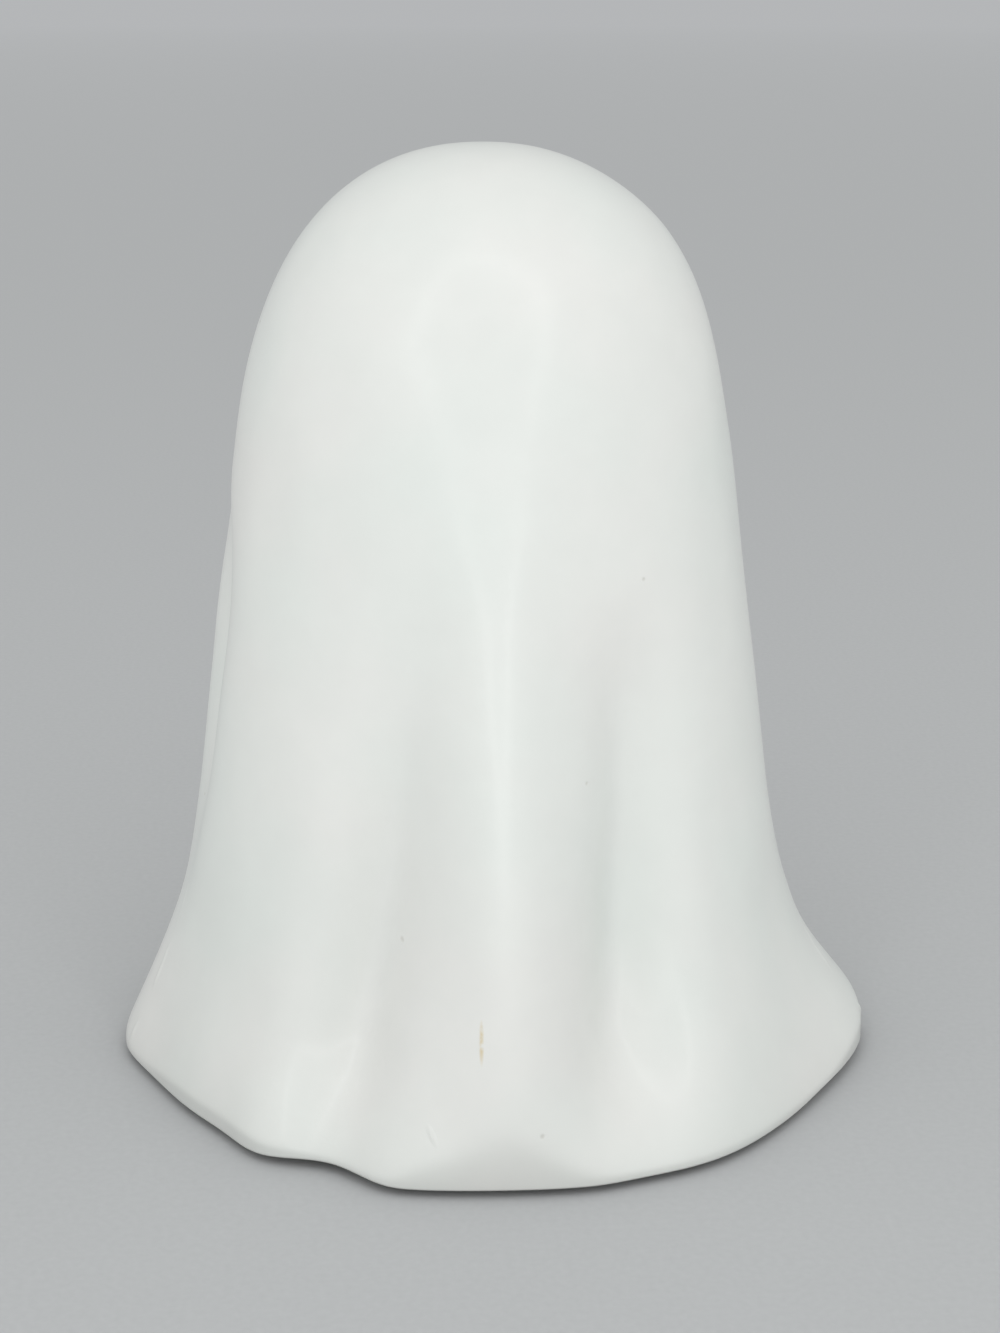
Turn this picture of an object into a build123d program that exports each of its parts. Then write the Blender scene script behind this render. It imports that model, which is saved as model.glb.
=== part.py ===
from build123d import *
import os
from collections import namedtuple
from math import cos, exp, pi, radians, sin, sqrt

# A hollow ceramic ghost: a sheet draped over a round head, with folds that run down to a flared hem.
# Millimetres, +Z up, table at Z = 0. The face looks towards -Y and the plain back towards +Y,
# so the ghost's own left is towards +X.

# Overall sizes of the drape
TOTAL_HEIGHT = 179.0
SKIRT_WIDTH = 127.3
SKIRT_DEPTH = 124.5
CROWN_WIDTH = 80.0
CROWN_DEPTH = 69.3

# Outline that the foot is trimmed to, how square it is, and how far the head stands off its middle
HEM_WIDTH = 150.5
HEM_DEPTH = 142.6
HEM_POWER = 2.36
HEM_SOFTNESS = 1.2
HEM_EDGE = 1.5
HEAD_OFFSET = 1.85

# Dome of the head: how tall it is, how late its sides close in, how round its top is, and its flat top
DOME_RISE = 70.6
DOME_BASE = TOTAL_HEIGHT - DOME_RISE
DOME_POWER = 3.6
CROWN_POWER = 2.2
CROWN_FLAT = 4.0

# Outward sweep of the sheet just above the table
FLARE_REACH = 6.1
FLARE_HEIGHT = 40.0

# Casting: wall, thicker foot ring, and the height over which one becomes the other
WALL = 5.0
FOOT_WIDTH = 9.0
FOOT_HEIGHT = 14.0

# Face: sunk patches of black glaze, placed by their drop below the crown
FACE_DEPTH = 1.2
GLAZE_THICKNESS = 1.0
FACE_CLEARANCE = 0.1
EYE_WIDTH = 17.0
EYE_HEIGHT = 25.0
EYE_SPACING = 31.0
EYE_DROP = 53.0
MOUTH_WIDTH = 15.0
MOUTH_HEIGHT = 20.0
MOUTH_DROP = 82.0

# Felt dots under the foot ring, close to its inner edge
PAD_DIAMETER = 6.0
PAD_THICKNESS = 1.5
PAD_MARGIN = 0.3
PAD_ANGLES = {
    "pad_back_left": 40.0,
    "pad_back_right": -45.0,
    "pad_front_left": 137.0,
    "pad_front_right": -137.0,
}

# How finely the drape is drawn
POINTS_AROUND = 90
SIDE_LEVELS = 16
DOME_LEVELS = 9
LEVEL_CROWDING = 1.7

# A fold pushes the sheet out by reach, or in where reach is negative, around one direction.
# Directions are degrees from +Y, positive towards +X, and spread is the fold's half width in degrees.
# It starts at the height top and grows down to full reach at peak, then fades to tail times its reach at base.
# Sway is how many degrees it turns in 100 mm of height.
Fold = namedtuple("Fold", "angle spread reach top peak base tail growth sway", defaults=(0, 0, 1, 1, 0))
FOLDS = {
    "back_ridge": Fold(angle=0, spread=11, reach=8, top=130, peak=40, tail=0.5),
    "back_ridge_foot": Fold(angle=15.4, spread=10.3, reach=4.8, top=48, growth=1.6),
    "back_valley_left": Fold(angle=30, spread=9, reach=-8, top=116, peak=22, tail=0.19, sway=-11),
    "back_valley_right": Fold(angle=-20, spread=9, reach=-10, top=108, peak=26, tail=0.06, sway=-13),
    "back_valley_hook": Fold(angle=-26, spread=10.5, reach=-2.4, top=108, peak=84, base=50, tail=0),
    "back_lobe_left": Fold(angle=38.2, spread=8.5, reach=3.7, top=48, growth=1.6),
    "back_lobe_right": Fold(angle=-24.2, spread=30.7, reach=6.8, top=59, growth=1.6),
    "side_tip_left": Fold(angle=90, spread=13.4, reach=5.5, top=93, growth=2.2),
    "side_tip_right": Fold(angle=-91, spread=27.8, reach=10.8, top=59, growth=2.2),
    "arm_left": Fold(angle=110, spread=10, reach=3.7, top=138, peak=84, tail=0.7),
    "arm_right": Fold(angle=-116, spread=13, reach=5.5, top=126, peak=90, tail=0.2),
    "arm_groove_left": Fold(angle=90, spread=11, reach=-4.7, top=120, peak=84, base=8, tail=0),
    "arm_groove_right": Fold(angle=-97, spread=9, reach=-1.5, top=122, peak=88, tail=0.3),
    "front_lobe_left": Fold(angle=137, spread=14, reach=6, top=80, growth=1.5),
    "front_lobe_right": Fold(angle=-137, spread=14, reach=6, top=80, growth=1.5),
    "front_valley_left": Fold(angle=158, spread=9, reach=-2.4, top=88, peak=30, tail=0),
    "front_valley_right": Fold(angle=-158, spread=9, reach=-2.4, top=88, peak=30, tail=0),
    "front_ridge": Fold(angle=180, spread=13, reach=6, top=84, growth=1.5),
}

# The head is a little fuller on one side, from the crown down to below its shoulder
SHOULDER_TOP = 1.0
SHOULDER_PEAK = 16.0
SHOULDER_BASE = 54.0
FOLDS["shoulder_right"] = Fold(
    angle=-85,
    spread=45,
    reach=1.1,
    top=TOTAL_HEIGHT - SHOULDER_TOP,
    peak=TOTAL_HEIGHT - SHOULDER_PEAK,
    base=TOTAL_HEIGHT - SHOULDER_BASE,
    tail=0,
)


def clamp(value):
    return min(max(value, 0.0), 1.0)


def ease(value):
    share = clamp(value)
    return share * share * (3.0 - 2.0 * share)


def turn_between(degrees, angle):
    return (degrees - angle + 180.0) % 360.0 - 180.0


def fold_strength(fold, z):
    # Share of the fold's reach at a height: a fold that goes on to the hem keeps on growing
    share = clamp((fold.top - z) / (fold.top - fold.peak))
    if fold.peak <= fold.base:
        return share ** fold.growth
    if z >= fold.peak:
        return ease(share) ** fold.growth
    return 1.0 + (fold.tail - 1.0) * ease((fold.peak - z) / (fold.peak - fold.base))


def oval_radius(half_width, half_depth, power, degrees):
    turn = radians(degrees)
    across = abs(sin(turn) / half_width) ** power
    along = abs(cos(turn) / half_depth) ** power
    return (across + along) ** (-1.0 / power)


def dome_share(z, inset):
    # Share of its full width that the head still has at a height
    flat_share = CROWN_FLAT / CROWN_WIDTH
    last_rise = (1.0 - flat_share ** CROWN_POWER) ** (1.0 / DOME_POWER)
    rise = last_rise * clamp((z - DOME_BASE) / (TOTAL_HEIGHT - inset - DOME_BASE))
    return (1.0 - rise ** DOME_POWER) ** (1.0 / CROWN_POWER)


def half_size(skirt, crown, z, inset):
    # Half of the drape's width or depth at a height, without folds
    straight = (skirt + (crown - skirt) * z / TOTAL_HEIGHT) / 2.0 - inset
    return straight * dome_share(z, inset)


def foot_radius(degrees, inset):
    # Distance from the head's axis to the outline that the foot is trimmed to
    outline = oval_radius(HEM_WIDTH / 2.0 - inset, HEM_DEPTH / 2.0 - inset, HEM_POWER, degrees)
    return outline - HEAD_OFFSET * sin(radians(degrees))


def drape_radius(degrees, height, inset):
    # Distance of the sheet from the head's axis, for a surface that lies inset inside the glaze
    z = max(height, PAD_THICKNESS + HEM_EDGE)
    half_width = half_size(SKIRT_WIDTH, CROWN_WIDTH, z, inset)
    half_depth = half_size(SKIRT_DEPTH, CROWN_DEPTH, z, inset)
    radius = oval_radius(half_width, half_depth, 2.0, degrees)
    radius += FLARE_REACH * clamp(1.0 - z / FLARE_HEIGHT) ** 2
    for fold in FOLDS.values():
        middle_line = fold.angle + fold.sway * z / 100.0
        away = turn_between(degrees, middle_line) / fold.spread
        radius += fold.reach * fold_strength(fold, z) * exp(-away * away)
    foot = foot_radius(degrees, inset)
    return (radius + foot - sqrt((radius - foot) ** 2 + HEM_SOFTNESS ** 2)) / 2.0


def foot_inset(z):
    # Wall thickness at a height: the foot ring is thicker than the wall above it
    return FOOT_WIDTH + (WALL - FOOT_WIDTH) * ease((z - PAD_THICKNESS) / FOOT_HEIGHT)


def plain_inset(depth):
    return lambda z: depth


def levels(top):
    # Heights of the sections: crowded near the hem, then even steps along the curve of the dome
    heights = []
    for step in range(SIDE_LEVELS):
        share = (step / SIDE_LEVELS) ** LEVEL_CROWDING
        heights.append(PAD_THICKNESS + (DOME_BASE - PAD_THICKNESS) * share)
    for step in range(DOME_LEVELS + 1):
        turn = step / DOME_LEVELS * pi / 2.0
        heights.append(DOME_BASE + (top - DOME_BASE) * sin(turn) ** (2.0 / DOME_POWER))
    return heights


def section(z, inset):
    points = []
    for step in range(POINTS_AROUND):
        degrees = 360.0 * step / POINTS_AROUND
        radius = drape_radius(degrees, z, inset)
        points.append((radius * sin(radians(degrees)), radius * cos(radians(degrees)), z))
    # The same even parameters at every level keep the lofted surface light
    parameters = [step / POINTS_AROUND for step in range(POINTS_AROUND + 1)]
    return make_face(Edge.make_spline(points, periodic=True, parameters=parameters))


def drape(inset_at):
    # Solid bounded by the sheet at an inset that may change with height
    heights = levels(TOTAL_HEIGHT - inset_at(TOTAL_HEIGHT))
    return loft([section(z, inset_at(z)) for z in heights])


def face_cutter(width, height, x, z, clearance):
    # Oval prism that runs from the axis out through the front
    plane = Plane(origin=(x, 0, z), x_dir=(1, 0, 0), z_dir=(0, -1, 0))
    oval = Ellipse(width / 2.0 - clearance, height / 2.0 - clearance)
    return extrude(plane * oval, amount=HEM_DEPTH)


def pad(degrees):
    radius = drape_radius(degrees, PAD_THICKNESS, FOOT_WIDTH) + PAD_MARGIN + PAD_DIAMETER / 2.0
    place = Pos(radius * sin(radians(degrees)), radius * cos(radians(degrees)), PAD_THICKNESS / 2.0)
    return place * Cylinder(PAD_DIAMETER / 2.0, PAD_THICKNESS)


# Outer sheet, hollow, and the two inner surfaces that the face patches lie between
outer = drape(plain_inset(0.0))
hollow = drape(foot_inset)
face_floor = drape(plain_inset(FACE_DEPTH))
face_top = drape(plain_inset(FACE_DEPTH - GLAZE_THICKNESS))

ovals = {
    "left_eye_glaze": (EYE_WIDTH, EYE_HEIGHT, EYE_SPACING / 2.0, TOTAL_HEIGHT - EYE_DROP),
    "right_eye_glaze": (EYE_WIDTH, EYE_HEIGHT, -EYE_SPACING / 2.0, TOTAL_HEIGHT - EYE_DROP),
    "mouth_glaze": (MOUTH_WIDTH, MOUTH_HEIGHT, 0.0, TOTAL_HEIGHT - MOUTH_DROP),
}

pieces = {}
ghost_shell = outer - hollow
for name, oval in ovals.items():
    ghost_shell -= face_cutter(*oval, 0.0) - face_floor
    pieces[name] = (face_cutter(*oval, FACE_CLEARANCE) & face_top) - face_floor
for name, degrees in PAD_ANGLES.items():
    pieces[name] = pad(degrees)
pieces["ghost_shell"] = ghost_shell

# The origin is under the middle of the whole figure
middle = ghost_shell.bounding_box().center()
centred = Pos(-middle.X, -middle.Y, 0)

os.makedirs("parts", exist_ok=True)
for name, piece in pieces.items():
    export_step(centred * piece, f"parts/{name}.step")
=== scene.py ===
import math
from collections import namedtuple

import bpy
import numpy as np
from mathutils import Matrix, Vector


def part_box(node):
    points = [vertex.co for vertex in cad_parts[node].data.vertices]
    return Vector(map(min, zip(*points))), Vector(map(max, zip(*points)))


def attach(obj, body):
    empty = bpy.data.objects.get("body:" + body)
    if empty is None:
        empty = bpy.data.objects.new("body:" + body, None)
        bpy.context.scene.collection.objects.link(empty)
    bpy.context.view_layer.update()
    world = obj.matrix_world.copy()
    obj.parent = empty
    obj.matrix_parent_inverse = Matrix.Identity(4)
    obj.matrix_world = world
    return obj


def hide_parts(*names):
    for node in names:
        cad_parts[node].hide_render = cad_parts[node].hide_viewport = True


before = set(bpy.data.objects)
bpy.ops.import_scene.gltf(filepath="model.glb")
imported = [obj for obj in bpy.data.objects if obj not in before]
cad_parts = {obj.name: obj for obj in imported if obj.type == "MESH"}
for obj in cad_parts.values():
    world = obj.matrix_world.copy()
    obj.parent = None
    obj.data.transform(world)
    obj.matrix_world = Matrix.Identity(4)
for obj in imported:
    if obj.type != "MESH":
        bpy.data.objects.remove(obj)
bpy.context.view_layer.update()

MM = 0.001

# Sizes of the drape in millimetres, the same as in the solids
TOTAL_HEIGHT = 179.0
SKIRT_WIDTH = 127.3
SKIRT_DEPTH = 124.5
CROWN_WIDTH = 80.0
CROWN_DEPTH = 69.3
HEM_WIDTH = 150.5
HEM_DEPTH = 142.6
HEM_POWER = 2.36
HEM_SOFTNESS = 1.2
HEM_EDGE = 1.5
HEAD_OFFSET = 1.85
DOME_RISE = 70.6
DOME_BASE = TOTAL_HEIGHT - DOME_RISE
DOME_POWER = 3.6
CROWN_POWER = 2.2
CROWN_FLAT = 4.0
FLARE_REACH = 6.1
FLARE_HEIGHT = 40.0
WALL = 5.0
FOOT_WIDTH = 9.0
FOOT_HEIGHT = 14.0
PAD_THICKNESS = 1.5

# One side of the head is fuller, between these drops below the crown
SHOULDER_TOP = 1.0
SHOULDER_PEAK = 16.0
SHOULDER_BASE = 54.0

# Folds of the sheet, as in the solids: directions in degrees from the back, reach in millimetres
Fold = namedtuple("Fold", "angle spread reach top peak base tail growth sway", defaults=(0, 0, 1, 1, 0))
FOLDS = {
    "back_ridge": Fold(angle=0, spread=11, reach=8, top=130, peak=40, tail=0.5),
    "back_ridge_foot": Fold(angle=15.4, spread=10.3, reach=4.8, top=48, growth=1.6),
    "back_valley_left": Fold(angle=30, spread=9, reach=-8, top=116, peak=22, tail=0.19, sway=-11),
    "back_valley_right": Fold(angle=-20, spread=9, reach=-10, top=108, peak=26, tail=0.06, sway=-13),
    "back_valley_hook": Fold(angle=-26, spread=10.5, reach=-2.4, top=108, peak=84, base=50, tail=0),
    "back_lobe_left": Fold(angle=38.2, spread=8.5, reach=3.7, top=48, growth=1.6),
    "back_lobe_right": Fold(angle=-24.2, spread=30.7, reach=6.8, top=59, growth=1.6),
    "side_tip_left": Fold(angle=90, spread=13.4, reach=5.5, top=93, growth=2.2),
    "side_tip_right": Fold(angle=-91, spread=27.8, reach=10.8, top=59, growth=2.2),
    "arm_left": Fold(angle=110, spread=10, reach=3.7, top=138, peak=84, tail=0.7),
    "arm_right": Fold(angle=-116, spread=13, reach=5.5, top=126, peak=90, tail=0.2),
    "arm_groove_left": Fold(angle=90, spread=11, reach=-4.7, top=120, peak=84, base=8, tail=0),
    "arm_groove_right": Fold(angle=-97, spread=9, reach=-1.5, top=122, peak=88, tail=0.3),
    "front_lobe_left": Fold(angle=137, spread=14, reach=6, top=80, growth=1.5),
    "front_lobe_right": Fold(angle=-137, spread=14, reach=6, top=80, growth=1.5),
    "front_valley_left": Fold(angle=158, spread=9, reach=-2.4, top=88, peak=30, tail=0),
    "front_valley_right": Fold(angle=-158, spread=9, reach=-2.4, top=88, peak=30, tail=0),
    "front_ridge": Fold(angle=180, spread=13, reach=6, top=84, growth=1.5),
    "shoulder_right": Fold(
        angle=-85,
        spread=45,
        reach=1.1,
        top=TOTAL_HEIGHT - SHOULDER_TOP,
        peak=TOTAL_HEIGHT - SHOULDER_PEAK,
        base=TOTAL_HEIGHT - SHOULDER_BASE,
        tail=0,
    ),
}

# Hem: places where its upright edge stands taller, how softly the sheet above meets it, the height over
# which that settles again, and the rounding of the lower edge
HemRise = namedtuple("HemRise", "angle spread height")
TALL_EDGES = [
    HemRise(angle=54, spread=19, height=1.7),
    HemRise(angle=-92, spread=22, height=3.2),
]
EDGE_BLEND = 0.6
EDGE_FADE = 22.0
EDGE_ROUND = 0.5

# Places where the hem lifts a little off the level of the foot
HEM_LIFTS = [
    HemRise(angle=28, spread=10, height=0.4),
    HemRise(angle=-70, spread=14, height=0.5),
    HemRise(angle=116, spread=12, height=0.8),
    HemRise(angle=-158, spread=10, height=0.7),
]

# Slow unevenness of the hand-finished sheet: turns around, turns up the height, size, and start
Ripple = namedtuple("Ripple", "around along size start")
RIPPLES = [
    Ripple(around=7, along=2.3, size=0.10, start=0.4),
    Ripple(around=11, along=4.1, size=0.07, start=2.1),
    Ripple(around=5, along=6.3, size=0.06, start=4.0),
    Ripple(around=19, along=1.2, size=0.05, start=1.3),
]
RIPPLE_FADE_TOP = 30.0
RIPPLE_FADE_FOOT = 12.0

# Seams of the casting mould at the two sides, rubbed down almost everywhere
SEAM_ANGLES = (84.0, -84.0)
SEAM_HEIGHT = 0.22
SEAM_WIDTH = 0.55
SEAM_TOP = 46.0
SEAM_FADE = 30.0
SEAM_START = 1.5
SEAM_RISE = 3.0

# Face: ovals sunk into the sheet, their floor and the slope round it as shares of the oval
FACE_DEPTH = 1.2
DENT_FLOOR = 1.05
DENT_SLOPE = 0.25
EYE_WIDTH = 17.0
EYE_HEIGHT = 25.0
EYE_SPACING = 31.0
EYE_DROP = 53.0
EYE_LEVEL = TOTAL_HEIGHT - EYE_DROP
MOUTH_WIDTH = 15.0
MOUTH_HEIGHT = 20.0
MOUTH_DROP = 82.0
MOUTH_LEVEL = TOTAL_HEIGHT - MOUTH_DROP
Oval = namedtuple("Oval", "x z width height")
OVALS = {
    "left_eye_glaze": Oval(EYE_SPACING / 2.0, EYE_LEVEL, EYE_WIDTH, EYE_HEIGHT),
    "right_eye_glaze": Oval(-EYE_SPACING / 2.0, EYE_LEVEL, EYE_WIDTH, EYE_HEIGHT),
    "mouth_glaze": Oval(0.0, MOUTH_LEVEL, MOUTH_WIDTH, MOUTH_HEIGHT),
}

# Pools of black glaze: swell in the middle, thickness at the rim, sink behind the floor, share of the oval
# that they fill, how square their swell is, and how much more of it lies in the lower half
POOL_SWELL = 0.5
POOL_RIM = 0.06
POOL_SINK = 0.05
POOL_REACH = 0.985
POOL_POWER = 5
POOL_SAG = 0.18

# Felt dots: shares of radius and thickness from the underside over the edge, and how ragged the edge is
PAD_NODES = ("pad_back_left", "pad_back_right", "pad_front_left", "pad_front_right")
PAD_PROFILE = [
    (0.45, 0.0),
    (0.8, 0.0),
    (0.95, 0.02),
    (0.99, 0.12),
    (1.0, 0.4),
    (0.995, 0.75),
    (0.97, 0.96),
    (0.9, 1.0),
    (0.5, 1.0),
]
PAD_RAGGED = 0.02

# Mesh density: columns and rows, how rows crowd together, where the inside and the foot ring start,
# closer columns over the seams, and the passes that find a place on the front
COLUMNS = 400
OUTER_ROWS = 174
INNER_ROWS = 40
FOOT_ROWS = 6
ROUND_ROWS = 6
HEM_CROWDING = 1.75
DOME_CROWDING = 1.9
INNER_CROWDING = 1.6
INNER_START = 0.35
FOOT_MARGIN = 0.3
SEAM_COLUMNS = 13
SEAM_SPAN = 1.5
SEAM_CLEAR = 1.6
POOL_RINGS = 26
POOL_POINTS = 96
PAD_POINTS = 72
FRONT_PASSES = 8

# Marks in the glaze of the back: direction and tilt in degrees, height and size in millimetres
Mark = namedtuple("Mark", "angle z width height tilt", defaults=(0.0,))
GLAZE_SPECKS = [
    Mark(angle=20.2, z=40.8, width=1.3, height=1.3),
    Mark(angle=-4.8, z=11.5, width=1.1, height=1.1),
    Mark(angle=-17.8, z=69.6, width=0.9, height=0.9),
    Mark(angle=-34.0, z=104.8, width=0.9, height=0.9),
]
GLAZE_STREAK = Mark(angle=4.0, z=27.8, width=1.0, height=9.0)
GLAZE_DRIP = Mark(angle=11.3, z=11.2, width=1.5, height=4.4, tilt=32.0)
MARK_DEPTH = 4.0

# Camera at the photograph's viewing angle, in millimetres and degrees: the photograph is 1000 by 1333 pixels
PHOTO_HEIGHT_PX = 1333.0
FOCAL_PX = 2400.0
CAMERA_DISTANCE = 454.3
CAMERA_HEIGHT = 207.4
CAMERA_TURN = 4.0
CAMERA_PITCH = 15.9
CAMERA_ASIDE = 3.26
SENSOR_MM = 36.0

# Stage in metres: where the floor ends, where it starts to melt into the backdrop, and its pale colours
FLOOR_RADIUS = 12.0
FLOOR_POINTS = 96
FLOOR_FADE_START = 1.0
FLOOR_DARK = (0.50, 0.51, 0.52)
FLOOR_LIGHT = (0.56, 0.57, 0.58)
BACKDROP = (0.46, 0.47, 0.48)

# Light thrown back by the floor: little from close by, and more from further out
BOUNCE_NEAR = (0.10, 0.10, 0.10)
BOUNCE_FAR = (0.80, 0.805, 0.81)
BOUNCE_START = 0.08
BOUNCE_END = 0.12

# Light from all around, fuller on the side of the photograph's camera
AMBIENT_CAMERA_SIDE = (0.93, 0.94, 0.93)
AMBIENT_FAR_SIDE = (0.62, 0.625, 0.62)
AMBIENT_TURN = 0.7

# Weak ring of lamps behind and above the camera, in metres and watts
RING_CENTRE = (0.03, 0.88, 0.69)
RING_AIM = (0.0, 0.04, 0.14)
RING_RADIUS = 0.50
RING_LAMPS = 24
RING_POWER = 2.6


# Shape of the sheet
def ease(value):
    share = np.clip(value, 0.0, 1.0)
    return share * share * (3.0 - 2.0 * share)


def turn_between(degrees, angle):
    return (degrees - angle + 180.0) % 360.0 - 180.0


def fold_strength(fold, z):
    # Share of the fold's reach at a height: a fold that goes on to the hem keeps on growing
    share = np.clip((fold.top - z) / (fold.top - fold.peak), 0.0, 1.0)
    if fold.peak <= fold.base:
        return share ** fold.growth
    below = 1.0 + (fold.tail - 1.0) * ease((fold.peak - z) / (fold.peak - fold.base))
    return np.where(z >= fold.peak, ease(share) ** fold.growth, below)


def oval_radius(half_width, half_depth, power, degrees):
    turn = np.radians(degrees)
    across = np.abs(np.sin(turn) / half_width) ** power
    along = np.abs(np.cos(turn) / half_depth) ** power
    return (across + along) ** (-1.0 / power)


def dome_share(z, inset):
    # Share of its full width that the head still has at a height
    flat_share = CROWN_FLAT / CROWN_WIDTH
    last_rise = (1.0 - flat_share ** CROWN_POWER) ** (1.0 / DOME_POWER)
    rise = last_rise * np.clip((z - DOME_BASE) / (TOTAL_HEIGHT - inset - DOME_BASE), 0.0, 1.0)
    return (1.0 - rise ** DOME_POWER) ** (1.0 / CROWN_POWER)


def half_size(skirt, crown, z, inset):
    # Half of the drape's width or depth at a height, without folds
    straight = (skirt + (crown - skirt) * z / TOTAL_HEIGHT) / 2.0 - inset
    return straight * dome_share(z, inset)


def foot_radius(degrees, inset):
    # Distance from the head's axis to the outline that the foot is trimmed to
    outline = oval_radius(HEM_WIDTH / 2.0 - inset, HEM_DEPTH / 2.0 - inset, HEM_POWER, degrees)
    return outline - HEAD_OFFSET * np.sin(np.radians(degrees))


def foot_inset(z):
    # Wall thickness at a height: the foot ring is thicker than the wall above it
    return FOOT_WIDTH + (WALL - FOOT_WIDTH) * ease((z - PAD_THICKNESS) / FOOT_HEIGHT)


def rises_at(degrees, rises):
    # Sum of flat-topped rises around the hem
    total = np.zeros_like(degrees)
    for rise in rises:
        total += rise.height * np.exp(-(turn_between(degrees, rise.angle) / rise.spread) ** 4)
    return total


def hem_level(degrees):
    return PAD_THICKNESS + rises_at(degrees, HEM_LIFTS)


def settled_height(degrees, height, inset):
    # Height at which the solids' drape is read: where the hem's edge is taller, the sheet above lies higher
    rim = rises_at(degrees, TALL_EDGES)
    edge = PAD_THICKNESS + HEM_EDGE
    over = height - edge - rim * (1.0 - ease((height - edge - rim) / EDGE_FADE))
    z = edge + (over + np.sqrt(over ** 2 + EDGE_BLEND ** 2)) / 2.0
    return np.minimum(z, TOTAL_HEIGHT - inset)


def drape_radius(degrees, height, inset):
    # Distance of the sheet from the head's axis, for a surface that lies inset inside the glaze
    z = settled_height(degrees, height, inset)
    half_width = half_size(SKIRT_WIDTH, CROWN_WIDTH, z, inset)
    half_depth = half_size(SKIRT_DEPTH, CROWN_DEPTH, z, inset)
    radius = oval_radius(half_width, half_depth, 2.0, degrees)
    radius = radius + FLARE_REACH * np.clip(1.0 - z / FLARE_HEIGHT, 0.0, 1.0) ** 2
    for fold in FOLDS.values():
        middle_line = fold.angle + fold.sway * z / 100.0
        away = turn_between(degrees, middle_line) / fold.spread
        radius = radius + fold.reach * fold_strength(fold, z) * np.exp(-away ** 2)
    foot = foot_radius(degrees, inset)
    return (radius + foot - np.sqrt((radius - foot) ** 2 + HEM_SOFTNESS ** 2)) / 2.0


def sheet_points(degrees, z, inset):
    # Points of the plain sheet about the head's axis
    radius = drape_radius(degrees, z, inset)
    return radius * np.sin(np.radians(degrees)), radius * np.cos(np.radians(degrees))


def ripples_at(degrees, z):
    # Slow ripples that die out at the crown and the hem
    turn = np.radians(degrees)
    rise = 2.0 * math.pi * z / TOTAL_HEIGHT
    uneven = np.zeros_like(z + degrees)
    for ripple in RIPPLES:
        uneven += ripple.size * np.sin(ripple.around * turn + ripple.start) * np.sin(ripple.along * rise)
    fade = ease((TOTAL_HEIGHT - z) / RIPPLE_FADE_TOP) * ease((z - PAD_THICKNESS) / RIPPLE_FADE_FOOT)
    return uneven * fade


def seams_at(degrees, z):
    # What is left of the mould seams: two slow waves along them decide where they are rubbed away
    patchy = np.clip(0.35 + np.sin(0.42 * z) + 0.6 * np.sin(1.13 * z + 1.0), 0.0, 1.0)
    fade = ease((SEAM_TOP - z) / SEAM_FADE) * ease((z - PAD_THICKNESS - SEAM_START) / SEAM_RISE)
    raised = np.zeros_like(z + degrees)
    for angle in SEAM_ANGLES:
        away = turn_between(degrees, angle) / SEAM_WIDTH
        raised += SEAM_HEIGHT * patchy * fade * np.exp(-away ** 2)
    return raised


def glaze_unevenness(degrees, z):
    return ripples_at(degrees, z) + seams_at(degrees, z)


def face_dent(x, z):
    # How deep the sheet is pressed in at the eyes and mouth
    depth = np.zeros_like(x)
    for oval in OVALS.values():
        share = np.hypot((x - oval.x) / (oval.width / 2.0), (z - oval.z) / (oval.height / 2.0))
        depth = np.maximum(depth, FACE_DEPTH * (1.0 - ease((share - DENT_FLOOR) / DENT_SLOPE)))
    return depth


def front_depth(x, z):
    # Y of the pressed-in front of the sheet at a given X and Z
    degrees = np.full_like(x, 180.0)
    for _ in range(FRONT_PASSES):
        radius = drape_radius(degrees, z, 0.0)
        degrees = 180.0 - np.degrees(np.arcsin(np.clip(x / radius, -0.99, 0.99)))
    radius = drape_radius(degrees, z, 0.0) + glaze_unevenness(degrees, z)
    return radius * np.cos(np.radians(degrees)) + face_dent(x, z)


def axis_place():
    # Where the head's axis stands in the frame: the drape's box is centred on the solids' box
    degrees = np.linspace(-180.0, 180.0, COLUMNS, endpoint=False)
    x, y = sheet_points(degrees, np.full_like(degrees, PAD_THICKNESS), 0.0)
    low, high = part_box("ghost_shell")
    middle = (low + high) / (2.0 * MM)
    return middle.x - (x.min() + x.max()) / 2.0, middle.y - (y.min() + y.max()) / 2.0


AXIS_X, AXIS_Y = axis_place()


def in_frame(x, y, z):
    # From millimetres about the head's axis to metres in the frame
    return (x + AXIS_X) * MM, (y + AXIS_Y) * MM, z * MM


# Mesh helpers
def make_mesh(name, points, faces, materials, material_of_face=None):
    mesh = bpy.data.meshes.new(name)
    mesh.from_pydata([tuple(point) for point in points], [], [tuple(face) for face in faces])
    mesh.polygons.foreach_set("use_smooth", [True] * len(mesh.polygons))
    for material in materials:
        mesh.materials.append(material)
    if material_of_face is not None:
        mesh.polygons.foreach_set("material_index", material_of_face)
    mesh.validate()
    mesh.update()
    piece = bpy.data.objects.new(name, mesh)
    bpy.context.scene.collection.objects.link(piece)
    return piece


def ring_quads(rows, columns, flip):
    # Quads between rows of points, each row a closed ring
    quads = []
    for row in range(rows - 1):
        here = row * columns
        above = here + columns
        for column in range(columns):
            after = (column + 1) % columns
            quad = [here + column, here + after, above + after, above + column]
            quads.append(quad[::-1] if flip else quad)
    return quads


def close_end(points, faces, row, columns, tip, flip):
    # Fan of triangles from one row of points to a tip
    pole = len(points)
    points.append(tip)
    for column in range(columns):
        after = (column + 1) % columns
        fan = [row * columns + column, row * columns + after, pole]
        faces.append(fan[::-1] if flip else fan)


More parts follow.
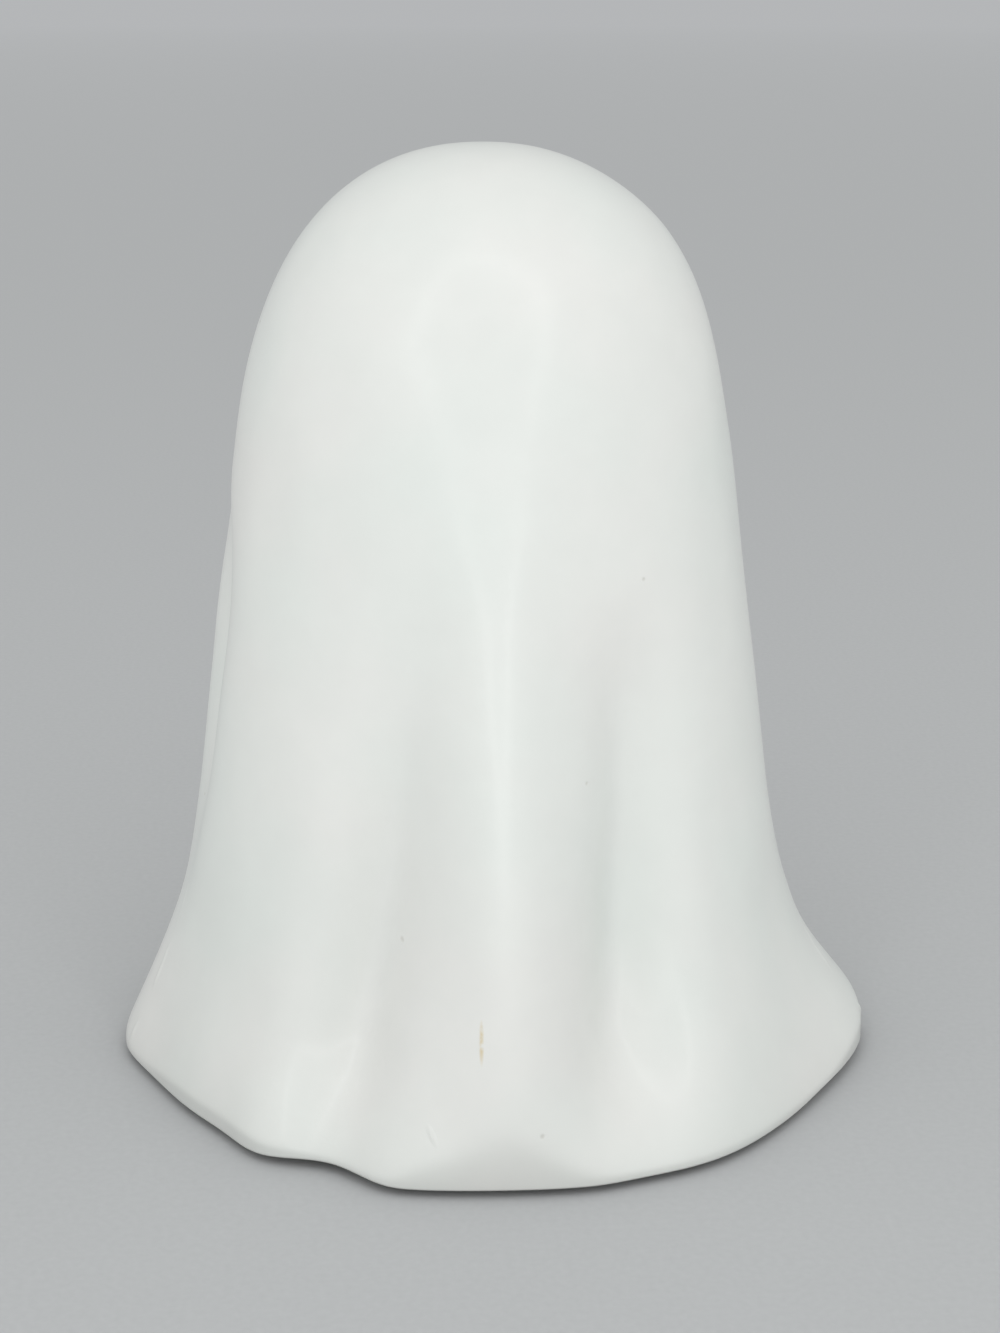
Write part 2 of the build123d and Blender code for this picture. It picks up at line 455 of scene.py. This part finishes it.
# Shell
def seam_columns():
    # Even columns around the figure, with closer ones over the seams
    columns = np.linspace(-180.0, 180.0, COLUMNS, endpoint=False)
    close = np.linspace(-SEAM_SPAN, SEAM_SPAN, SEAM_COLUMNS)
    for angle in SEAM_ANGLES:
        columns = columns[np.abs(columns - angle) > SEAM_CLEAR]
    return np.sort(np.concatenate([columns] + [angle + close for angle in SEAM_ANGLES]))


def inner_rows(degrees, bottom):
    # Inside of the casting, from the crown down to the foot ring
    rows = []
    for step in range(INNER_ROWS):
        down = (step + INNER_START) / INNER_ROWS
        z = bottom + (TOTAL_HEIGHT - WALL - bottom) * (1.0 - down ** INNER_CROWDING)
        rows.append((*sheet_points(degrees, z, foot_inset(z)), z))
    return rows


def foot_rows(degrees, bottom):
    # Flat foot ring, from its inside edge out to the rounded outer edge
    turn = np.radians(degrees)
    inner = drape_radius(degrees, bottom, FOOT_WIDTH) + FOOT_MARGIN
    outer = drape_radius(degrees, bottom, 0.0) - EDGE_ROUND
    rows = []
    for step in range(FOOT_ROWS + 1):
        radius = inner + (outer - inner) * step / FOOT_ROWS
        rows.append((radius * np.sin(turn), radius * np.cos(turn), bottom))
    return rows


def edge_rows(degrees, bottom):
    # Rounded lower edge of the hem
    rows = []
    for step in range(1, ROUND_ROWS):
        around = step / ROUND_ROWS * math.pi / 2.0
        z = bottom + EDGE_ROUND * (1.0 - math.cos(around))
        x, y = sheet_points(degrees, z, 0.0)
        shrink = 1.0 - EDGE_ROUND * (1.0 - math.sin(around)) / np.hypot(x, y)
        rows.append((x * shrink, y * shrink, z))
    return rows


def outer_rows(degrees, bottom):
    # Glazed outside from the rounded edge up to the crown, with rows crowded at the hem and at the crown
    turn = np.radians(degrees)
    low = bottom + EDGE_ROUND
    rows = []
    for step in range(OUTER_ROWS):
        up = step / OUTER_ROWS
        dome = 1.0 - (1.0 - up) ** DOME_CROWDING
        near_hem = low + (TOTAL_HEIGHT - low) * up ** HEM_CROWDING
        near_crown = low + (TOTAL_HEIGHT - low) * dome
        z = near_hem * (1.0 - ease(dome)) + near_crown * ease(dome)
        x, y = sheet_points(degrees, z, 0.0)
        uneven = glaze_unevenness(degrees, z)
        x = x + uneven * np.sin(turn)
        y = y + uneven * np.cos(turn) + np.where(y < 0.0, face_dent(x, z), 0.0)
        rows.append((x, y, z))
    return rows


def build_shell(glaze, bisque):
    degrees = seam_columns()
    columns = len(degrees)
    bottom = hem_level(degrees)
    inside = inner_rows(degrees, bottom)
    foot = foot_rows(degrees, bottom)
    rows = inside + foot + edge_rows(degrees, bottom) + outer_rows(degrees, bottom)
    points = []
    for x, y, z in rows:
        points.extend(zip(*in_frame(x, y, z)))
    faces = ring_quads(len(rows), columns, True)
    close_end(points, faces, 0, columns, in_frame(0.0, 0.0, TOTAL_HEIGHT - WALL), False)
    close_end(points, faces, len(rows) - 1, columns, in_frame(0.0, 0.0, TOTAL_HEIGHT), True)

    # Glaze is the first material and bisque the second, which shows on the foot alone
    material_of_face = np.zeros(len(faces), dtype=int)
    material_of_face[(len(inside) - 1) * columns:(len(inside) + len(foot)) * columns] = 1
    return make_mesh("ghost_shell_glazed", points, faces, [glaze, bisque], material_of_face)


# Black glaze of the face
def build_patch(node, material):
    # A pool in its sunk oval, thick in the middle and thin at the rim, then its back from the rim inwards
    oval = OVALS[node]
    turn = np.linspace(0.0, 2.0 * math.pi, POOL_POINTS, endpoint=False)
    shares = [(ring + 1) / POOL_RINGS for ring in range(POOL_RINGS)]
    rows = [(share, True) for share in shares] + [(share, False) for share in reversed(shares)]
    points = []
    for share, outside in rows:
        x = oval.x + share * POOL_REACH * oval.width / 2.0 * np.cos(turn)
        z = oval.z + share * POOL_REACH * oval.height / 2.0 * np.sin(turn)
        swell = POOL_SWELL * (1.0 - share ** POOL_POWER) * (1.0 - POOL_SAG * np.sin(turn) * share)
        y = front_depth(x, z) - (swell + POOL_RIM if outside else -POOL_SINK)
        points.extend(zip(*in_frame(x, y, z)))
    faces = ring_quads(len(rows), POOL_POINTS, False)
    floor_y = front_depth(np.array([oval.x]), np.array([oval.z]))[0]
    front_tip = in_frame(oval.x, floor_y - POOL_SWELL - POOL_RIM, oval.z)
    back_tip = in_frame(oval.x, floor_y + POOL_SINK, oval.z)
    close_end(points, faces, 0, POOL_POINTS, front_tip, True)
    close_end(points, faces, len(rows) - 1, POOL_POINTS, back_tip, False)
    return make_mesh(node + "_pool", points, faces, [material])


# Felt dots
def build_pad(node, material):
    # A thick disc with a soft, slightly ragged edge
    low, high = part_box(node)
    middle = (low + high) / 2.0
    radius = (high.x - low.x) / 2.0
    points = []
    for reach, rise in PAD_PROFILE:
        z = low.z + (high.z - low.z) * rise
        for step in range(PAD_POINTS):
            turn = 2.0 * math.pi * step / PAD_POINTS
            waver = 0.5 + 0.5 * math.sin(7.0 * turn + 1.3) * math.sin(17.0 * turn)
            r = radius * reach * (1.0 - PAD_RAGGED * waver)
            points.append((middle.x + r * math.cos(turn), middle.y + r * math.sin(turn), z))
    last_row = len(PAD_PROFILE) - 1
    faces = ring_quads(len(PAD_PROFILE), PAD_POINTS, False)
    close_end(points, faces, 0, PAD_POINTS, (middle.x, middle.y, low.z), True)
    close_end(points, faces, last_row, PAD_POINTS, (middle.x, middle.y, high.z), False)
    return make_mesh(node + "_felt", points, faces, [material])


# Material helpers
def start_material(name):
    material = bpy.data.materials.new(name)
    material.use_nodes = True
    tree = material.node_tree
    tree.nodes.clear()
    out = tree.nodes.new("ShaderNodeOutputMaterial")
    shader = tree.nodes.new("ShaderNodeBsdfPrincipled")
    tree.links.new(shader.outputs["BSDF"], out.inputs["Surface"])
    coords = tree.nodes.new("ShaderNodeTexCoord")
    return material, tree, shader, coords.outputs["Object"]


def noise(tree, place, scale, detail=2.0, roughness=0.5):
    node = tree.nodes.new("ShaderNodeTexNoise")
    node.inputs["Scale"].default_value = scale
    node.inputs["Detail"].default_value = detail
    node.inputs["Roughness"].default_value = roughness
    tree.links.new(place, node.inputs["Vector"])
    return node.outputs["Fac"]


def remap(tree, value, low, high, to_low, to_high):
    node = tree.nodes.new("ShaderNodeMapRange")
    node.inputs["From Min"].default_value = low
    node.inputs["From Max"].default_value = high
    node.inputs["To Min"].default_value = to_low
    node.inputs["To Max"].default_value = to_high
    tree.links.new(value, node.inputs["Value"])
    return node.outputs["Result"]


def combine(tree, operation, first, second):
    node = tree.nodes.new("ShaderNodeMath")
    node.operation = operation
    for socket, value in zip(node.inputs, (first, second)):
        if isinstance(value, (int, float)):
            socket.default_value = value
        else:
            tree.links.new(value, socket)
    return node.outputs["Value"]


def scaled(tree, value, factor):
    return combine(tree, "MULTIPLY", value, factor)


def vector_length(tree, vector):
    node = tree.nodes.new("ShaderNodeVectorMath")
    node.operation = "LENGTH"
    tree.links.new(vector, node.inputs[0])
    return node.outputs["Value"]


def blend_colour(tree, share, first, second):
    # Mix of two colours, each a plain colour or another node's output
    node = tree.nodes.new("ShaderNodeMix")
    node.data_type = "RGBA"
    tree.links.new(share, node.inputs["Factor"])
    for socket, colour in ((node.inputs[6], first), (node.inputs[7], second)):
        if isinstance(colour, tuple):
            socket.default_value = (*colour, 1.0)
        else:
            tree.links.new(colour, socket)
    return node.outputs[2]


def bump(tree, shader, height, strength, distance):
    node = tree.nodes.new("ShaderNodeBump")
    node.inputs["Strength"].default_value = strength
    node.inputs["Distance"].default_value = distance
    tree.links.new(height, node.inputs["Height"])
    tree.links.new(node.outputs["Normal"], shader.inputs["Normal"])


def specks(tree, place, scale, size, share):
    # Scattered dots: one in some of the cells of a random pattern
    cells = tree.nodes.new("ShaderNodeTexVoronoi")
    cells.inputs["Scale"].default_value = scale
    tree.links.new(place, cells.inputs["Vector"])
    dots = remap(tree, cells.outputs["Distance"], size * 0.5, size, 1.0, 0.0)
    split = tree.nodes.new("ShaderNodeSeparateColor")
    tree.links.new(cells.outputs["Color"], split.inputs["Color"])
    chosen = combine(tree, "LESS_THAN", split.outputs["Red"], share)
    return combine(tree, "MULTIPLY", dots, chosen)


def blot(tree, place, mark):
    # Soft oval mark at one place on the sheet, 1 in its middle and 0 outside
    x, y = sheet_points(np.array([mark.angle]), np.array([mark.z]), 0.0)
    mapping = tree.nodes.new("ShaderNodeMapping")
    mapping.vector_type = "TEXTURE"
    mapping.inputs["Location"].default_value = in_frame(x[0], y[0], mark.z)
    mapping.inputs["Rotation"].default_value = (0.0, math.radians(mark.tilt), math.radians(-mark.angle))
    mapping.inputs["Scale"].default_value = (mark.width / 2.0 * MM, MARK_DEPTH * MM, mark.height / 2.0 * MM)
    tree.links.new(place, mapping.inputs["Vector"])
    return remap(tree, vector_length(tree, mapping.outputs["Vector"]), 0.35, 1.0, 1.0, 0.0)


def seen_rays(tree):
    # 1 for what the camera sees, also in gloss and through glass, and 0 for light thrown on the object
    light = tree.nodes.new("ShaderNodeLightPath")
    seen = combine(tree, "MAXIMUM", light.outputs["Is Camera Ray"], light.outputs["Is Glossy Ray"])
    return combine(tree, "MAXIMUM", seen, light.outputs["Is Transmission Ray"])


# Materials of the object
def white_glaze():
    material, tree, shader, place = start_material("white_glaze_satin")
    cool_white = (0.805, 0.838, 0.808)
    warm_white = (0.842, 0.846, 0.822)
    mottle_grey = (0.70, 0.71, 0.69)
    pinhole_brown = (0.42, 0.38, 0.31)
    speck_grey = (0.55, 0.53, 0.48)
    ochre = (0.66, 0.50, 0.20)

    # Two whites drift into each other, with a faint mottle
    drift = remap(tree, noise(tree, place, 22.0), 0.35, 0.65, 0.0, 1.0)
    colour = blend_colour(tree, drift, cool_white, warm_white)
    mottle = remap(tree, noise(tree, place, 160.0, 3.0), 0.3, 0.7, 0.0, 0.10)
    colour = blend_colour(tree, mottle, colour, mottle_grey)

    # Pinholes, and a few specks where they show most
    pinholes = specks(tree, place, 70.0, 0.026, 0.16)
    colour = blend_colour(tree, scaled(tree, pinholes, 0.55), colour, pinhole_brown)
    for mark in GLAZE_SPECKS:
        speck = blot(tree, place, mark)
        pinholes = combine(tree, "MAXIMUM", pinholes, speck)
        colour = blend_colour(tree, scaled(tree, speck, 0.4), colour, speck_grey)

    # Thin broken streak under the glaze on the back ridge
    broken = remap(tree, noise(tree, place, 420.0, 3.0), 0.36, 0.52, 0.0, 1.0)
    streak = combine(tree, "MULTIPLY", blot(tree, place, GLAZE_STREAK), broken)
    colour = blend_colour(tree, scaled(tree, streak, 0.6), colour, ochre)
    tree.links.new(colour, shader.inputs["Base Color"])

    # Satin under a thin clear gloss
    satin = remap(tree, noise(tree, place, 48.0, 3.0), 0.3, 0.7, 0.36, 0.46)
    tree.links.new(satin, shader.inputs["Roughness"])
    shader.inputs["Coat Weight"].default_value = 0.32
    shader.inputs["Coat Roughness"].default_value = 0.17

    # Orange peel and fine grain, a drip beside the arch of the hem, and the pinholes' pits
    peel = scaled(tree, noise(tree, place, 170.0), 0.35)
    grain = scaled(tree, noise(tree, place, 1500.0), 0.05)
    drip = scaled(tree, blot(tree, place, GLAZE_DRIP), 0.8)
    height = combine(tree, "ADD", combine(tree, "ADD", peel, grain), drip)
    height = combine(tree, "SUBTRACT", height, scaled(tree, pinholes, 0.6))
    bump(tree, shader, height, 0.35, 0.0004)
    return material


def bare_bisque():
    material, tree, shader, place = start_material("bare_bisque_foot")
    dark_clay = (0.66, 0.63, 0.57)
    light_clay = (0.74, 0.715, 0.66)
    grit_brown = (0.40, 0.35, 0.28)
    drift = remap(tree, noise(tree, place, 60.0, 4.0), 0.35, 0.65, 0.0, 1.0)
    colour = blend_colour(tree, drift, dark_clay, light_clay)
    grit = specks(tree, place, 420.0, 0.16, 0.3)
    colour = blend_colour(tree, scaled(tree, grit, 0.5), colour, grit_brown)
    tree.links.new(colour, shader.inputs["Base Color"])
    dry = remap(tree, noise(tree, place, 300.0), 0.3, 0.7, 0.75, 0.92)
    tree.links.new(dry, shader.inputs["Roughness"])
    height = combine(tree, "ADD", noise(tree, place, 1200.0, 4.0), scaled(tree, grit, 0.5))
    bump(tree, shader, height, 0.5, 0.0002)
    return material


def black_glaze():
    material, tree, shader, place = start_material("black_glaze_gloss")
    deep_black = (0.010, 0.010, 0.012)
    brown_black = (0.026, 0.023, 0.021)
    pinhole_grey = (0.10, 0.09, 0.08)
    drift = remap(tree, noise(tree, place, 140.0, 3.0), 0.35, 0.7, 0.0, 1.0)
    colour = blend_colour(tree, drift, deep_black, brown_black)
    pinholes = specks(tree, place, 260.0, 0.05, 0.12)
    colour = blend_colour(tree, pinholes, colour, pinhole_grey)
    tree.links.new(colour, shader.inputs["Base Color"])
    gloss = remap(tree, noise(tree, place, 220.0), 0.3, 0.7, 0.10, 0.20)
    tree.links.new(gloss, shader.inputs["Roughness"])
    shader.inputs["Coat Weight"].default_value = 0.6
    shader.inputs["Coat Roughness"].default_value = 0.06
    peel = combine(tree, "SUBTRACT", noise(tree, place, 260.0), scaled(tree, pinholes, 0.8))
    bump(tree, shader, peel, 0.25, 0.0003)
    return material


def felt():
    material, tree, shader, place = start_material("dark_felt")
    dark_fibre = (0.028, 0.027, 0.026)
    light_fibre = (0.10, 0.096, 0.092)
    fibres = noise(tree, place, 2600.0, 6.0, 0.75)
    colour = blend_colour(tree, fibres, dark_fibre, light_fibre)
    tree.links.new(colour, shader.inputs["Base Color"])
    shader.inputs["Roughness"].default_value = 0.95
    shader.inputs["Sheen Weight"].default_value = 0.4
    bump(tree, shader, fibres, 0.9, 0.0005)
    return material


# Stage
def studio_floor():
    # Pale to the eye, whatever light it throws back
    material, tree, shader, place = start_material("studio_floor")
    seen = seen_rays(tree)
    away = vector_length(tree, place)
    pale = blend_colour(tree, noise(tree, place, 700.0, 4.0), FLOOR_DARK, FLOOR_LIGHT)
    further = remap(tree, away, BOUNCE_START, BOUNCE_END, 0.0, 1.0)
    bounce = blend_colour(tree, further, BOUNCE_NEAR, BOUNCE_FAR)
    tree.links.new(blend_colour(tree, seen, bounce, pale), shader.inputs["Base Color"])
    shader.inputs["Roughness"].default_value = 0.9

    # Far away it melts into the backdrop
    far = remap(tree, away, FLOOR_FADE_START, FLOOR_RADIUS, 0.0, 1.0)
    glow = tree.nodes.new("ShaderNodeEmission")
    tree.links.new(blend_colour(tree, seen, BOUNCE_FAR, BACKDROP), glow.inputs["Color"])
    both = tree.nodes.new("ShaderNodeMixShader")
    tree.links.new(far, both.inputs["Fac"])
    tree.links.new(shader.outputs["BSDF"], both.inputs[1])
    tree.links.new(glow.outputs["Emission"], both.inputs[2])
    tree.links.new(both.outputs["Shader"], tree.nodes["Material Output"].inputs["Surface"])
    return material


def build_floor():
    rim = []
    for step in range(FLOOR_POINTS):
        turn = 2.0 * math.pi * step / FLOOR_POINTS
        rim.append((FLOOR_RADIUS * math.cos(turn), FLOOR_RADIUS * math.sin(turn), 0.0))
    mesh = bpy.data.meshes.new("studio_floor")
    mesh.from_pydata(rim, [], [tuple(range(FLOOR_POINTS))])
    mesh.materials.append(studio_floor())
    floor = bpy.data.objects.new("studio_floor", mesh)
    bpy.context.scene.collection.objects.link(floor)


def set_world():
    # Pale backdrop to the eye, soft light from all around on the object
    world = bpy.data.worlds.new("studio_world")
    world.use_nodes = True
    tree = world.node_tree
    coords = tree.nodes.new("ShaderNodeTexCoord")
    split = tree.nodes.new("ShaderNodeSeparateXYZ")
    tree.links.new(coords.outputs["Generated"], split.inputs["Vector"])
    camera_side = remap(tree, split.outputs["Y"], -AMBIENT_TURN, AMBIENT_TURN, 0.0, 1.0)
    ambient = blend_colour(tree, camera_side, AMBIENT_FAR_SIDE, AMBIENT_CAMERA_SIDE)
    colour = blend_colour(tree, seen_rays(tree), ambient, BACKDROP)
    tree.links.new(colour, tree.nodes["Background"].inputs["Color"])
    bpy.context.scene.world = world


def add_ring_light():
    # Soft lamps side by side on a circle that faces the figure
    centre = Vector(RING_CENTRE)
    aim = Vector(RING_AIM)
    away = (centre - aim).normalized()
    side = Vector((0.0, 0.0, 1.0)).cross(away).normalized()
    up = away.cross(side)
    for step in range(RING_LAMPS):
        turn = 2.0 * math.pi * step / RING_LAMPS
        place = centre + (side * math.cos(turn) + up * math.sin(turn)) * RING_RADIUS
        lamp = bpy.data.lights.new(f"ring_{step}", "AREA")
        lamp.shape = "DISK"
        lamp.size = 2.0 * math.pi * RING_RADIUS / RING_LAMPS
        lamp.energy = RING_POWER / RING_LAMPS
        light = bpy.data.objects.new(lamp.name, lamp)
        light.location = place
        light.rotation_euler = (aim - place).to_track_quat("-Z", "Y").to_euler()
        bpy.context.scene.collection.objects.link(light)


def add_camera():
    turn = math.radians(CAMERA_TURN)
    away = Vector((math.sin(turn), math.cos(turn), 0.0))
    right = Vector((-math.cos(turn), math.sin(turn), 0.0))
    place = Vector((AXIS_X, AXIS_Y, CAMERA_HEIGHT)) + away * CAMERA_DISTANCE + right * CAMERA_ASIDE
    pitch = math.radians(CAMERA_PITCH)
    back = away * math.cos(pitch) + Vector((0.0, 0.0, math.sin(pitch)))
    up = back.cross(right)
    data = bpy.data.cameras.new("photo_camera")
    data.sensor_fit = "VERTICAL"
    data.sensor_height = SENSOR_MM
    data.lens = SENSOR_MM * FOCAL_PX / PHOTO_HEIGHT_PX
    camera = bpy.data.objects.new("photo_camera", data)
    turn_matrix = Matrix((right, up, back)).transposed().to_4x4()
    camera.matrix_world = Matrix.Translation(place * MM) @ turn_matrix
    bpy.context.scene.collection.objects.link(camera)
    bpy.context.scene.camera = camera


def stand_for(piece, node):
    # The piece takes the place of a solid and rides on the figure's one body
    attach(piece, "root")
    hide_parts(node)


# The object
stand_for(build_shell(white_glaze(), bare_bisque()), "ghost_shell")
black = black_glaze()
for node in OVALS:
    stand_for(build_patch(node, black), node)
dark_felt = felt()
for node in PAD_NODES:
    stand_for(build_pad(node, dark_felt), node)

# The stage
build_floor()
set_world()
add_camera()
add_ring_light()
bpy.context.scene.view_settings.view_transform = "Standard"
